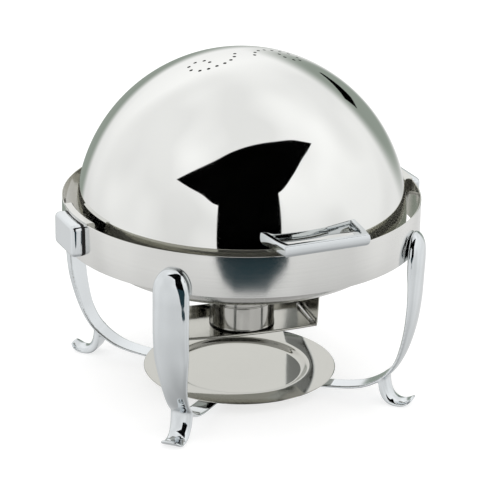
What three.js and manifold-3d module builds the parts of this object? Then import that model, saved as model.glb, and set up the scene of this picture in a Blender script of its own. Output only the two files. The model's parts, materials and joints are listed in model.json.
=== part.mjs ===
// Round roll top chafer: a spherical cover that rolls back inside a ring carried on four scrolled legs,
// with two nested pans, a burner shelf hung below them and a drip plate on the legs' cross arms.
// Millimetres. The shapes are drawn about the pivot centre of the cover: X along the pivot axis,
// the handle towards -Y, Z up. The finished group is moved so that its box stands on the origin.
import * as THREE from "three";
import { mergeVertices } from "three/addons/utils/BufferGeometryUtils.js";
import Module from "manifold-3d";

const wasm = await Module();
wasm.setup();

// ---- driving dimensions ----
const FLOOR_Z = -207; // underside of the feet, below the pivot axis
const GAP = 0.3; // running and assembly clearance

const RING_R = 205;
const RING_WALL = 1.5;
const RING_TOP = 23.3;
const RING_BOTTOM = -23.9;

const DOME_R = 189.1;
const DOME_WALL = 1.2;
const DOME_RIM_Z = -12;

const LEG_ANGLES = { front_left: -135, front_right: -45, back_left: 135, back_right: 45 };
const LEG_SCREW_Z = -17;

const HANDLE_HALF = 50.5;
const HANDLE_FLARE = 55;
const HANDLE_FRONT = 225;
const HANDLE_TOP = 43.5;
const HANDLE_DEPTH = 14;

const BLOCK_FACE_X = 217;
const BLOCK_HALF_Y = 29;
const BLOCK_TOP = 21;
const BLOCK_BOTTOM = -17;
const BLOCK_ROUND = 5;
const GASKET_THICK = 1.7;
const CAP_HALF_Y = 35;

const PIN_R = 4;
const PAN_FLANGE_Z = -9;
const PAN_FLOOR_Z = -56;

const SHELF_TURN = -6.8; // degrees about the vertical axis
const SHELF_Z = -137;
const SHELF_HALF_X = 83.5;
const SHELF_FRONT = -39;
const SHELF_BACK = 41;
const SHELF_SAG = 6;
const UPSTAND_TOP = -128;

const CUP_R = 37.5;
const CUP_TOP = -92;
const CUP_CENTRE = [2.5, 1.2];
const LID_PIVOT_Y = 43; // from the cup's centre, towards the back

const PLATE_R = 112.4;
const PLATE_RIM_Z = -191;
const ARM_TOP = -198.1;

// ---- geometry helpers ----
// A closed surface through rings of points. Rings join in order; the ends are capped to two poles,
// or joined to each other when there are none.
function skin(rings, poles) {
  const count = rings[0].length;
  const points = rings.flat();
  const faces = [];
  const last = poles ? rings.length - 1 : rings.length;
  for (let i = 0; i < last; i++) {
    const a = i * count;
    const b = ((i + 1) % rings.length) * count;
    for (let j = 0; j < count; j++) {
      const k = (j + 1) % count;
      faces.push(a + j, a + k, b + k, a + j, b + k, b + j);
    }
  }
  if (poles) {
    const end = (rings.length - 1) * count;
    points.push(poles[0], poles[1]);
    for (let j = 0; j < count; j++) {
      const k = (j + 1) % count;
      faces.push(points.length - 2, k, j);
      faces.push(points.length - 1, end + j, end + k);
    }
  }
  return solid(points, faces);
}

function solid(points, faces) {
  let volume = 0;
  for (let i = 0; i < faces.length; i += 3) {
    const [a, b, c] = [0, 1, 2].map((n) => new THREE.Vector3(...points[faces[i + n]]));
    volume += a.dot(b.cross(c));
  }
  const turned = volume < 0 ? [...faces].reverse() : faces;
  return new wasm.Manifold(
    new wasm.Mesh({
      numProp: 3,
      vertProperties: new Float32Array(points.flat()),
      triVerts: new Uint32Array(turned),
    }),
  );
}

function solidFrom(geometry) {
  const bare = geometry.index ? geometry.toNonIndexed() : geometry;
  const merged = mergeVertices(
    new THREE.BufferGeometry().setAttribute("position", bare.getAttribute("position")),
    1e-4,
  );
  const list = merged.attributes.position;
  const points = [];
  for (let i = 0; i < list.count; i++) {
    points.push([list.getX(i), list.getY(i), list.getZ(i)]);
  }
  return solid(points, [...merged.index.array]);
}

function centre(ring) {
  return [0, 1, 2].map((n) => ring.reduce((sum, p) => sum + p[n], 0) / ring.length);
}

function loft(rings) {
  return skin(rings, [centre(rings[0]), centre(rings.at(-1))]);
}

// Turns a profile of [radius, z] about the Z axis. A profile whose ends lie on the axis makes a solid
// of revolution; any other profile closes on itself.
function revolve(profile, steps) {
  const onAxis = profile[0][0] === 0;
  const rings = (onAxis ? profile.slice(1, -1) : profile).map(([r, z]) =>
    Array.from({ length: steps }, (_, i) => {
      const t = (2 * Math.PI * i) / steps;
      return [r * Math.cos(t), r * Math.sin(t), z];
    }),
  );
  return skin(rings, onAxis && [[0, 0, profile[0][1]], [0, 0, profile.at(-1)[1]]]);
}

// A round bar from one point to another.
function bar(from, to, radius, sides = 20) {
  const a = new THREE.Vector3(...from);
  const b = new THREE.Vector3(...to);
  const turn = new THREE.Quaternion().setFromUnitVectors(
    new THREE.Vector3(0, 0, 1),
    b.clone().sub(a).normalize(),
  );
  const rings = [a, b].map((at) =>
    Array.from({ length: sides }, (_, i) => {
      const t = (2 * Math.PI * i) / sides;
      return new THREE.Vector3(radius * Math.cos(t), radius * Math.sin(t), 0)
        .applyQuaternion(turn)
        .add(at)
        .toArray();
    }),
  );
  return skin(rings, [from, to]);
}

function box(x0, x1, y0, y1, z0, z1) {
  const ring = (z) => [[x0, y0, z], [x1, y0, z], [x1, y1, z], [x0, y1, z]];
  return loft([ring(z0), ring(z1)]);
}

function ball(radius, steps, rows) {
  const profile = [[0, -radius]];
  for (let i = 1; i < rows; i++) {
    const t = (Math.PI * i) / rows - Math.PI / 2;
    profile.push([radius * Math.cos(t), radius * Math.sin(t)]);
  }
  return revolve([...profile, [0, radius]], steps);
}

function node(name, shape) {
  const made = shape.getMesh();
  const geometry = new THREE.BufferGeometry()
    .setAttribute("position", new THREE.BufferAttribute(made.vertProperties, 3))
    .setIndex(new THREE.BufferAttribute(made.triVerts, 1));
  const mesh = new THREE.Mesh(geometry);
  mesh.name = name;
  return mesh;
}

function turnedZ(shape, degrees) {
  return shape.rotate([0, 0, degrees]);
}

function both(make) {
  return [["left", -1], ["right", 1]].flatMap(([side, sign]) => make(side, sign));
}

// Arc points of an ellipse in [radius, z], from one angle to another in degrees.
function arc(r, z, a, b, from, to, count) {
  return Array.from({ length: count + 1 }, (_, i) => {
    const t = ((from + ((to - from) * i) / count) * Math.PI) / 180;
    return [r + a * Math.cos(t), z + b * Math.sin(t)];
  });
}

// ---- frame ----
function ring() {
  const inside = RING_R - RING_WALL;
  let band = revolve(
    [[RING_R, RING_BOTTOM], [RING_R, RING_TOP], [inside, RING_TOP], [inside, RING_BOTTOM]],
    80,
  );
  for (const angle of Object.values(LEG_ANGLES)) {
    band = band.subtract(turnedZ(bar([190, 0, LEG_SCREW_Z], [215, 0, LEG_SCREW_Z], 2.4, 12), angle));
  }
  band = band.subtract(bar([-215, 0, 0], [215, 0, 0], PIN_R + GAP));
  for (const x of [-1, 1]) {
    for (const y of [-18, 18]) {
      band = band.subtract(bar([x * 190, y, 0], [x * 215, y, 0], 2.4, 12));
    }
  }
  return node("ring_band", band);
}

// Stations of the leg: [inner radius, z, outer radius, z, half width].
const LEG_STATIONS = [
  [203.5, 5, 207.8, 5.4, 4.5],
  [203.5, 3.2, 212, 4, 9],
  [203.5, -1.5, 215.8, -1, 14.2],
  [203.5, -9, 218.5, -9, 18.6],
  [203.5, -18, 219.4, -18, 20.8],
  [204.5, -29, 219.5, -29, 21],
  [205.5, -40, 219, -40, 21],
  [206.6, -54, 218.3, -53, 21],
  [206.8, -75, 217, -76, 21],
  [205.4, -97, 214.3, -99, 20.6],
  [202.8, -115, 210.8, -117.5, 18.6],
  [199, -132, 206, -135, 16.4],
  [195, -146, 200.6, -149, 14.8],
  [190, -157, 194.2, -161.2, 14],
  [184, -166.5, 186.7, -171, 13.6],
  [176.5, -174, 178.4, -178.6, 13.2],
  [167, -181, 168.7, -185.6, 12.8],
  [155.5, -187, 156.7, -191.6, 12.5],
  [143, -190.8, 143.6, -195.2, 12.3],
  [130, -193.2, 130.3, -197.2, 12.2],
  [112, -195.4, 112, -199, 12.1],
  [92, -197.6, 92, -201.1, 12],
  [80, ARM_TOP, 80, ARM_TOP - 3.5, 12],
  [20, ARM_TOP, 20, ARM_TOP - 3.5, 12],
];

// Stations of the scrolled foot: [inner radius, z, outer radius, z, half width].
const FOOT_STATIONS = [
  [176, -174, 185.5, -167, 12.6],
  [174.5, -182, 185.2, -175.5, 12.8],
  [176, -190.5, 186.3, -184, 12.6],
  [179, -198, 188.4, -190.8, 12.2],
  [184, -203.6, 191.6, -196.2, 12],
  [190, -206.4, 195.8, -199.4, 12],
  [196.5, FLOOR_Z, 200.2, -200.8, 12.2],
  [203.5, -206, 205, -200.4, 12.6],
  [209.5, -203.2, 209.2, -198.4, 12.2],
  [213.2, -200, 212, -196.2, 10],
  [214.6, -198.2, 213.4, -196, 7],
];

// A D-shaped cross section: flat inside, bowed outside.
function legSection([innerR, innerZ, outerR, outerZ, half]) {
  const at = (depth, w) => [
    innerR + (outerR - innerR) * depth,
    w,
    innerZ + (outerZ - innerZ) * depth,
  ];
  const ring = [at(0.12, half), at(0, half * 0.86), at(0, -half * 0.86), at(0.12, -half)];
  for (let i = 1; i < 7; i++) {
    const t = (Math.PI * i) / 7;
    ring.push(at(0.3 + 0.7 * Math.sin(t) ** 0.9, -half * Math.cos(t)));
  }
  return ring;
}

function legs() {
  const strap = loft(LEG_STATIONS.map(legSection));
  const foot = loft(FOOT_STATIONS.map(legSection));
  const ringHold = revolve([[0, -24.2], [205.3, -24.2], [205.3, 40], [0, 40]], 96);
  const screwHole = bar([200, 0, LEG_SCREW_Z], [212, 0, LEG_SCREW_Z], 2.4, 12);
  const hubHole = bar([26, 0, -210], [26, 0, -190], 2.4, 12);
  const leg = strap.add(foot).subtract(ringHold).subtract(screwHole).subtract(hubHole);
  return Object.entries(LEG_ANGLES).map(([corner, angle]) => node("leg_" + corner, turnedZ(leg, angle)));
}

// A pan-head screw along +X with its head's underside at the origin.
function screw(headR, headH, shaftR, shaftLength) {
  return revolve(
    [
      [0, shaftLength],
      [shaftR, shaftLength],
      [shaftR, 0],
      [headR, 0],
      [headR, -headH * 0.5],
      [headR * 0.7, -headH],
      [0, -headH],
    ],
    16,
  ).rotate([0, 90, 0]);
}

function legScrews() {
  const one = screw(4.4, 2.4, 2, 8).translate([RING_R - RING_WALL - GAP, 0, LEG_SCREW_Z]);
  return Object.entries(LEG_ANGLES).map(([corner, angle]) =>
    node("leg_screw_" + corner, turnedZ(one, angle)),
  );
}

// The disc that ties the four arms together under the plate, with one screw up into each arm.
function hub() {
  const top = ARM_TOP - 3.5 - GAP;
  let disc = revolve([[0, top - 2], [40, top - 2], [42, top - 1], [42, top], [0, top]], 40);
  for (const angle of Object.values(LEG_ANGLES)) {
    disc = disc.subtract(turnedZ(bar([26, 0, -210], [26, 0, -195], 2.4, 12), angle));
  }
  const one = screw(4, 1.8, 2, 5).rotate([0, -90, 0]).translate([26, 0, top - 2 - GAP]);
  const screws = Object.entries(LEG_ANGLES).map(([corner, angle]) =>
    node("hub_screw_" + corner, turnedZ(one, angle)),
  );
  return [node("leg_hub", disc), ...screws];
}

// ---- pivots ----
function roundedBlock() {
  const height = BLOCK_TOP - BLOCK_BOTTOM;
  const r = BLOCK_ROUND;
  const shape = new THREE.Shape();
  const hy = BLOCK_HALF_Y - r;
  const hz = height / 2 - r;
  shape.absarc(hy, hz, 2, 0, Math.PI / 2);
  shape.absarc(-hy, hz, 2, Math.PI / 2, Math.PI);
  shape.absarc(-hy, -hz, 2, Math.PI, 1.5 * Math.PI);
  shape.absarc(hy, -hz, 2, 1.5 * Math.PI, 2 * Math.PI);
  const geometry = new THREE.ExtrudeGeometry(shape, {
    depth: BLOCK_FACE_X - 195 - 2 * (r - 2),
    bevelSize: r - 2,
    bevelThickness: r - 2,
    bevelSegments: 2,
    curveSegments: 3,
  });
  geometry.rotateX(Math.PI / 2).rotateZ(Math.PI / 2);
  geometry.translate(195 + r - 2, 0, (BLOCK_TOP + BLOCK_BOTTOM) / 2);
  return solidFrom(geometry);
}

function sleeve(inner, outer, z0, z1) {
  return revolve([[outer, z0], [outer, z1], [inner, z1], [inner, z0]], 96);
}

function pivots() {
  const gasketR = RING_R + GAP;
  const blockR = gasketR + GASKET_THICK + GAP;
  const nearSide = box(150, 260, -60, 60, -60, 60);
  const pinHole = bar([170, 0, 0], [212, 0, 0], PIN_R + GAP);
  const screwHoles = [-18, 18].map((y) => bar([190, y, 0], [212.5, y, 0], 2.4, 12));
  const drilled = (shape) => screwHoles.reduce((s, hole) => s.subtract(hole), shape.subtract(pinHole));
  const block = drilled(roundedBlock().subtract(sleeve(100, blockR, -60, 60)));
  const gasketWindow = box(150, 260, 1.5 - BLOCK_HALF_Y, BLOCK_HALF_Y - 1.5, BLOCK_BOTTOM + 1.5, BLOCK_TOP - 1.5);
  const gasket = drilled(
    sleeve(gasketR, gasketR + GASKET_THICK, -40, 40).intersect(gasketWindow),
  );
  const cap = revolve(
    [
      [RING_R, RING_TOP + GAP],
      [RING_R, RING_TOP + GAP + 1.6],
      [197, RING_TOP + GAP + 1.6],
      [195.5, RING_TOP + GAP],
      [195.5, 9],
      [RING_R - RING_WALL - GAP, 9],
      [RING_R - RING_WALL - GAP, RING_TOP + GAP],
    ],
    96,
  ).intersect(box(150, 260, -CAP_HALF_Y, CAP_HALF_Y, -60, 60));
  const pin = bar([172.6, 0, 0], [211.5, 0, 0], PIN_R);
  const spacer = bar([DOME_R + 0.5, 0, 0], [202.6, 0, 0], 6.5).subtract(pinHole);
  const nut = bar([173.5, 0, 0], [179.9, 0, 0], 7.3, 6).subtract(pinHole);
  const blockScrew = screw(4, 2.2, 2, 9);
  return both((side, sign) => {
    const placed = (name, shape) => node(name + "_" + side, sign > 0 ? shape : turnedZ(shape, 180));
    const screws = [["front", -18], ["back", 18]].map(([end, y]) =>
      node(
        `block_screw_${side}_${end}`,
        (sign > 0 ? blockScrew : turnedZ(blockScrew, 180)).translate([sign * 202.2, y, 0]),
      ),
    );
    return [
      placed("hinge_block", block),
      placed("hinge_gasket", gasket),
      placed("hinge_cap", cap),
      placed("hinge_pin", pin),
      placed("hinge_spacer", spacer),
      placed("hinge_nut", nut),
      ...screws,
    ];
  });
}

// The cranked strap that hangs the water pan from a pivot pin.
function hangers() {
  const line = [[182, 13], [182, -10.5], [178, -15], [178, -31]];
  const half = 15;
  const ring = ([x, z]) => [[x - 1.5, -half, z], [x, -half, z], [x, half, z], [x - 1.5, half, z]];
  const strap = loft(line.map(ring))
    .subtract(bar([170, 0, 0], [190, 0, 0], PIN_R + GAP))
    .subtract(bar([170, 0, -19], [190, 0, -19], 2.4, 12));
  const rivet = screw(4.2, 1.6, 2, 4.6).translate([174.5, 0, -19]);
  return both((side, sign) => [
    node("pan_hanger_" + side, sign > 0 ? strap : turnedZ(strap, 180)),
    node("hanger_rivet_" + side, sign > 0 ? rivet : turnedZ(rivet, 180)),
  ]);
}

// ---- pans ----
function pans() {
  const waterLine = [
    [0.0, PAN_FLOOR_Z],
    [70, PAN_FLOOR_Z],
    ...arc(138, -22, 38, 34, -90, 0, 6),
    [176, PAN_FLANGE_Z],
    [166, PAN_FLANGE_Z],
  ];
  const waterInner = [
    [166, PAN_FLANGE_Z - 1.2],
    [174.8, PAN_FLANGE_Z - 1.2],
    ...arc(138, -22, 36.8, 32.8, 0, -90, 6),
    [70, PAN_FLOOR_Z + 1.2],
    [0.0, PAN_FLOOR_Z + 1.2],
  ];
  let water = revolve([...waterLine, ...waterInner], 56);
  for (const sign of [-1, 1]) {
    water = water.subtract(bar([sign * 165, 0, -19], [sign * 190, 0, -19], 2.4, 12));
    for (const y of [-10, 10]) {
      const [x, at] = shelfPoint(sign * 79, y);
      water = water.subtract(bar([x, at, PAN_FLOOR_Z - 5], [x, at, PAN_FLOOR_Z + 5], 2.4, 12));
    }
  }
  const foodTop = PAN_FLANGE_Z + GAP + 1.2;
  const foodLine = [
    [0.0, -50],
    [60, -50],
    ...arc(130, -22, 31, 28, -90, 0, 5),
    [161.4, foodTop - 1.2],
    [170, foodTop - 1.2],
    [171, foodTop - 0.6],
    [170, foodTop],
  ];
  const foodInner = [
    [160.2, foodTop],
    ...arc(130, -22, 29.8, 26.8, 0, -90, 5),
    [60, -48.8],
    [0.0, -48.8],
  ];
  const food = revolve([...foodLine, ...foodInner], 48);
  return [node("water_pan", water), node("food_pan", food)];
}

// ---- burner ----
function shelfPoint(x, y) {
  const t = (SHELF_TURN * Math.PI) / 180;
  return [x * Math.cos(t) - y * Math.sin(t), x * Math.sin(t) + y * Math.cos(t)];
}

function frontEdge(x) {
  return SHELF_FRONT + SHELF_SAG * (x / SHELF_HALF_X) ** 2;
}

function shelf() {
  const thick = 1.2;
  const steps = 12;
  const xs = Array.from({ length: steps + 1 }, (_, i) => SHELF_HALF_X * ((2 * i) / steps - 1));
  const column = (x) => [
    [x, frontEdge(x), SHELF_Z - thick],
    [x, SHELF_BACK, SHELF_Z - thick],
    [x, SHELF_BACK, SHELF_Z],
    [x, frontEdge(x), SHELF_Z],
  ];
  const floor = loft(xs.map(column));
  const lip = loft(
    xs.map((x) =>
      Array.from({ length: 8 }, (_, i) => {
        const t = (Math.PI * i) / 4;
        return [x, frontEdge(x) + 1.6 * Math.cos(t), SHELF_Z + 0.2 + 1.6 * Math.sin(t)];
      }),
    ),
  );
  const back = box(-SHELF_HALF_X, SHELF_HALF_X, SHELF_BACK - thick, SHELF_BACK, SHELF_Z - thick, UPSTAND_TOP);
  let made = floor.add(lip).add(back);
  const topZ = PAN_FLOOR_Z - GAP;
  for (const sign of [-1, 1]) {
    const front = frontEdge(SHELF_HALF_X);
    const slice = (x0, x1, z) => [
      [sign * x0, front, z],
      [sign * x1, front, z],
      [sign * x1, SHELF_BACK, z],
      [sign * x0, SHELF_BACK, z],
    ];
    const wall = loft([
      slice(SHELF_HALF_X - thick, SHELF_HALF_X, SHELF_Z - thick),
      slice(88 - thick, 88, topZ),
    ]);
    const flange = loft([slice(70, 88, topZ - thick), slice(70, 88, topZ)]);
    made = made.add(wall).add(flange);
    for (const y of [-10, 10]) {
      made = made.subtract(bar([sign * 79, y, -70], [sign * 79, y, -50], 2.4, 12));
    }
  }
  const rivet = screw(4, 1.4, 2, 4.4).rotate([0, -90, 0]);
  const rivets = both((side, sign) =>
    [["front", -10], ["back", 10]].map(([end, y]) =>
      node(
        `shelf_rivet_${side}_${end}`,
        turnedZ(rivet.translate([sign * 79, y, topZ - thick - GAP]), SHELF_TURN),
      ),
    ),
  );
  const rodZ = SHELF_Z + GAP + 2.6;
  const rods = both((side, sign) => {
    const x = sign * 79.4;
    const knobs = [-25, 23].map((y) => ball(2.6, 10, 5).translate([x, y, rodZ]));
    const rod = bar([x, -25, rodZ], [x, 23, rodZ], 1.4, 12).add(knobs[0]).add(knobs[1]);
    return [node("shelf_rod_" + side, turnedZ(rod, SHELF_TURN))];
  });
  return [node("burner_shelf", turnedZ(made, SHELF_TURN)), ...rivets, ...rods];
}

// The burner cup, the fuel can in it, and a damper lid that swings about a rivet at the back.
function burner() {
  const base = SHELF_Z + GAP;
  const cup = revolve(
    [
      [0.0, base],
      [CUP_R + 0.6, base],
      [CUP_R + 0.6, base + 2.5],
      [CUP_R, base + 3.2],
      [CUP_R, -107.6],
      [CUP_R - 0.8, -107],
      [CUP_R - 0.8, -106],
      [CUP_R, -105.4],
      [CUP_R, CUP_TOP - 1],
      [CUP_R + 0.8, CUP_TOP],
      [CUP_R - 2.2, CUP_TOP],
      [CUP_R - 2.2, base + 1.2],
      [0.0, base + 1.2],
    ],
    32,
  );
  const lug = box(-5, 5, CUP_R - 1.4, LID_PIVOT_Y + 5, CUP_TOP - 3, CUP_TOP - 0.2);
  const lugHole = bar([0, LID_PIVOT_Y, CUP_TOP - 8], [0, LID_PIVOT_Y, CUP_TOP + 2], 2.1, 14);
  const canBase = base + 1.5;
  const can = revolve(
    [
      [0.0, canBase],
      [33, canBase],
      [34.5, canBase + 1.5],
      [34.5, CUP_TOP - 5],
      [33, CUP_TOP - 3.6],
      [20, CUP_TOP - 3.6],
      [19, CUP_TOP - 5],
      [19, CUP_TOP - 14],
      [0.0, CUP_TOP - 14],
    ],
    24,
  );
  const lidBase = CUP_TOP + GAP;
  const lidDisc = revolve(
    [[0.0, lidBase], [35, lidBase], [35, lidBase + 1.4], [30, lidBase + 2.6], [0.0, lidBase + 2.6]],
    24,
  );
  const ear = box(-5, 5, 20, LID_PIVOT_Y + 5, lidBase, lidBase + 1.4);
  const tab = box(-6, 6, -38, -28, lidBase, lidBase + 1.4);
  const lidHole = bar([0, LID_PIVOT_Y, lidBase - 3], [0, LID_PIVOT_Y, lidBase + 5], 2.1, 14);
  const pinBottom = CUP_TOP - 3 - GAP;
  const pinTop = lidBase + 1.4 + GAP;
  const rivet = revolve(
    [
      [0.0, pinBottom - 1.5],
      [3.6, pinBottom - 1.5],
      [3.6, pinBottom],
      [1.9, pinBottom],
      [1.9, pinTop],
      [3.6, pinTop],
      [2.6, pinTop + 1.4],
      [0.0, pinTop + 1.4],
    ],
    16,
  ).translate([0, LID_PIVOT_Y, 0]);
  const placed = (name, shape) => node(name, turnedZ(shape.translate([...CUP_CENTRE, 0]), SHELF_TURN));
  return [
    placed("burner_cup", cup.add(lug).subtract(lugHole)),
    placed("fuel_can", can),
    placed("burner_lid", lidDisc.add(ear).add(tab).subtract(lidHole)),
    placed("lid_rivet", rivet),
  ];
}

// ---- drip plate ----
function plate() {
  const z = PLATE_RIM_Z;
  const well = ARM_TOP + GAP;
  const profile = [
    [0.0, well],
    [74, well],
    [78.5, z - 4],
    [81, z - 1.4],
    [84, z - 1.1],
    [111.6, z - 1.1],
    [PLATE_R, z - 0.4],
    [111.6, z + 0.3],
    [83.4, z],
    [79.4, z - 1],
    [76.6, z - 3.8],
    [73, well + 1.1],
    [0.0, well + 1.1],
  ];
  return node("lower_plate", revolve(profile, 48));
}

// ---- rolling cover ----
const VENT_CENTRE = [-1.5, -6.5];
const VENT_LOOP = [
  [-50.9, -19.8],
  [-59.7, -15.9],
  [-66, -6],
  [-64.2, 4.5],
  [-55.2, 8.1],
  [-46.3, 3.3],
  [-43.6, -5.7],
];

// The centres of one scroll of vent holes and of its half-turn copy.
function ventHoles() {
  const tail = Array.from({ length: 5 }, (_, i) => {
    const t = ((-16.6 - 20 * i) * Math.PI) / 180;
    return [-38 + 28.2 * Math.cos(t), 7.5 + 28.2 * Math.sin(t)];
  });
  const scroll = [...tail, ...VENT_LOOP];
  return [...scroll, ...scroll.map(([x, y]) => [2 * VENT_CENTRE[0] - x, 2 * VENT_CENTRE[1] - y])];
}

function dome() {
  const inner = DOME_R - DOME_WALL;
  const rimAngle = (Math.asin(DOME_RIM_Z / DOME_R) * 180) / Math.PI;
  const outerArc = arc(0, 0, DOME_R, DOME_R, rimAngle, 90, 13).slice(0, -1);
  const innerArc = arc(0, 0, inner, inner, 90, (Math.asin(DOME_RIM_Z / inner) * 180) / Math.PI, 13);
  const profile = [...outerArc, [0, DOME_R], [0, inner], ...innerArc.slice(1)];
  const open = profile.map(([r, z]) => [Math.max(r, 0), z]);
  const bottomPole = open.findIndex(([r]) => r === 0);
  const outside = open.slice(0, bottomPole + 1).reverse();
  const inside = open.slice(bottomPole + 1).reverse();
  const outerSolid = revolve([...outside, [0, DOME_RIM_Z]], 56);
  const innerSolid = revolve([[0, DOME_RIM_Z - 1], [inside[0][0], DOME_RIM_Z - 1], ...inside], 56);
  let shell = outerSolid.subtract(innerSolid).subtract(bar([-200, 0, 0], [200, 0, 0], PIN_R + GAP));
  for (const [x, y] of ventHoles()) {
    shell = shell.subtract(bar([x, y, 150], [x, y, 195], 2, 8));
  }
  for (const sign of [-1, 1]) {
    shell = shell.subtract(bar([sign * 52, -150, 36.5], [sign * 52, -200, 36.5], 2.2, 12));
  }
  const ear = bar([184.6, 0, 0], [186.4, 0, 0], 13, 32).subtract(
    bar([170, 0, 0], [200, 0, 0], PIN_R + GAP),
  );
  return [
    node("dome_cover", shell),
    ...both((side, sign) => [node("dome_ear_" + side, sign > 0 ? ear : turnedZ(ear, 180))]),
  ];
}

// ---- handle ----
// Cross section of the handle rail: [outward, up] from the middle of its top face.
const RAIL_SECTION = [
  [-3, 0],
  [2.6, 0],
  [3.6, -1],
  [4.4, -5],
  [4.2, -9],
  [2.4, -12.4],
  [-0.4, -HANDLE_DEPTH],
  [-2.6, -12.6],
  [-3.4, -8],
  [-3.4, -3],
];

function handle() {
  const out = 4.4;
  const y = -(HANDLE_FRONT - out);
  const x = HANDLE_HALF - out;
  const corner = Math.SQRT2;
  const stations = [
    { at: [-HANDLE_FLARE + 2, -160], along: [-1, 0], grow: 1 },
    { at: [-HANDLE_FLARE + 3, -182], along: [-1, 0], grow: 1 },
    { at: [-x, y], along: [-corner / 2, -corner / 2], grow: corner },
    { at: [x, y], along: [corner / 2, -corner / 2], grow: corner },
    { at: [HANDLE_FLARE - 3, -182], along: [1, 0], grow: 1 },
    { at: [HANDLE_FLARE - 2, -160], along: [1, 0], grow: 1 },
  ];
  const rings = stations.map(({ at, along, grow }) =>
    RAIL_SECTION.map(([u, up]) => [
      at[0] + along[0] * u * grow,
      at[1] + along[1] * u * grow,
      HANDLE_TOP + up,
    ]),
  );
  let rail = loft(rings).subtract(ball(DOME_R + GAP, 96, 48));
  for (const sign of [-1, 1]) {
    rail = rail.subtract(bar([sign * 52, -160, 36.5], [sign * 52, -193, 36.5], 1.8, 12));
  }
  const screws = both((side, sign) => {
    const one = screw(3.4, 2, 1.5, 16).rotate([0, 0, -90]);
    return [node("handle_screw_" + side, one.translate([sign * 52, -174.6, 36.5]))];
  });
  return [node("handle", rail), ...screws];
}

// ---- assembly ----
const chafer = new THREE.Group();
chafer.name = "roll_top_chafer";
const BACK_MOST = RING_R;
chafer.add(
  ring(),
  ...legs(),
  ...legScrews(),
  ...hub(),
  ...pivots(),
  ...hangers(),
  ...pans(),
  ...shelf(),
  ...burner(),
  plate(),
  ...dome(),
  ...handle(),
);
chafer.position.set(0, (HANDLE_FRONT - BACK_MOST) / 2, -FLOOR_Z);

export default chafer;
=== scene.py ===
import json
import math

import bpy
from mathutils import Matrix, Vector


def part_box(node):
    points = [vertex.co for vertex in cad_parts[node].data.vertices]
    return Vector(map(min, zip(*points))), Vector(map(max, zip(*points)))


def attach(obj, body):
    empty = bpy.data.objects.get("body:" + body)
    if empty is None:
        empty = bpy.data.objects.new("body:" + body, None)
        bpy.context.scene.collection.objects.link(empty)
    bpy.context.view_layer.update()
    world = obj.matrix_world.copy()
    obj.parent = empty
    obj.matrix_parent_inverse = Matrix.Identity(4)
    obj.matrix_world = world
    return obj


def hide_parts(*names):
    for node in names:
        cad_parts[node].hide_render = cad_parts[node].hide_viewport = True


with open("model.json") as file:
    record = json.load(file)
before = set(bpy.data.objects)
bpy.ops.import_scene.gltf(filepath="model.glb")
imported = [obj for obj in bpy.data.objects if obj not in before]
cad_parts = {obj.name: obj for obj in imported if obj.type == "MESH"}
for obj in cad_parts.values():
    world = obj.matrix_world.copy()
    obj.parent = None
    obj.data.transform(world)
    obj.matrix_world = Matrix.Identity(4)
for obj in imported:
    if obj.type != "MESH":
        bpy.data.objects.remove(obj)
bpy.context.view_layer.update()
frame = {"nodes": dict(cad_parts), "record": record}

# ---- sizes, in metres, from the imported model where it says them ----
pin_low, pin_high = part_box("hinge_pin_right")
PIVOT = Vector((0, (pin_low.y + pin_high.y) / 2, (pin_low.z + pin_high.z) / 2))
MM = 0.001

DOME_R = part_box("dome_cover")[1].z - PIVOT.z
DOME_WALL = 1.2 * MM
RING_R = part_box("ring_band")[1].x
RING_WALL = 1.5 * MM
BLOCK_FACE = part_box("hinge_block_right")[1].x
SHELF_TURN = math.radians(-6.8)

# ---- sizes in millimetres from the pivot ----
CUP_MM = (2.5, 1.2)
# Height up to which the cup's foot gets painted shade, a near-black painted contact shadow.
CUP_FOOT_SHADE_Z = -134.6
DOME_RIM_Z = -12.0
RING_TOP, RING_BOTTOM = 23.3, -23.9
HANDLE_HALF, HANDLE_FRONT, HANDLE_TOP = 50.5, 225, 43.5
RAIL_REACH = 4.4
LIP_RADIUS = 1.55

EDGE_WIDTH = 0.35 * MM
LEGS = (("front_left", -135), ("front_right", -45), ("back_left", 135), ("back_right", 45))
SIDES = (("left", -1), ("right", 1))


def at_pivot(x, y, z):
    """A point given in millimetres from the pivot centre."""
    return Vector((x * MM, y * MM, z * MM)) + PIVOT


# ---- mesh making ----
def linked(name, mesh):
    """A new object in the scene that holds the mesh."""
    piece = bpy.data.objects.new(name, mesh)
    bpy.context.scene.collection.objects.link(piece)
    return piece


def circle(centre, side, up, radius, sides):
    """Points round a centre in the plane of two directions."""
    turns = [2 * math.pi * i / sides for i in range(sides)]
    return [centre + (side * math.cos(t) + up * math.sin(t)) * radius for t in turns]


def build(name, points, faces, sharp=40.0):
    mesh = bpy.data.meshes.new(name)
    mesh.from_pydata([tuple(p) for p in points], [], faces)
    mesh.update()
    volume = 0.0
    for polygon in mesh.polygons:
        corner = [mesh.vertices[i].co for i in polygon.vertices]
        for i in range(1, len(corner) - 1):
            volume += corner[0].dot(corner[i].cross(corner[i + 1]))
    if volume < 0:
        mesh.flip_normals()
    mesh.shade_smooth()
    if sharp:
        mesh.set_sharp_from_angle(angle=math.radians(sharp))
    return linked(name, mesh)


def skin(name, rings, closed=False, caps=True, sharp=40.0):
    """Joins rings of points in order. The ends are capped, or joined to each other when closed."""
    count = len(rings[0])
    points = [p for ring in rings for p in ring]
    faces = []
    last = len(rings) if closed else len(rings) - 1
    for i in range(last):
        a = i * count
        b = (i + 1) % len(rings) * count
        for j in range(count):
            k = (j + 1) % count
            faces.append((a + j, a + k, b + k, b + j))
    if caps and not closed:
        faces.append(tuple(range(count))[::-1])
        faces.append(tuple(range(len(points) - count, len(points))))
    return build(name, points, faces, sharp)


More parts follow.
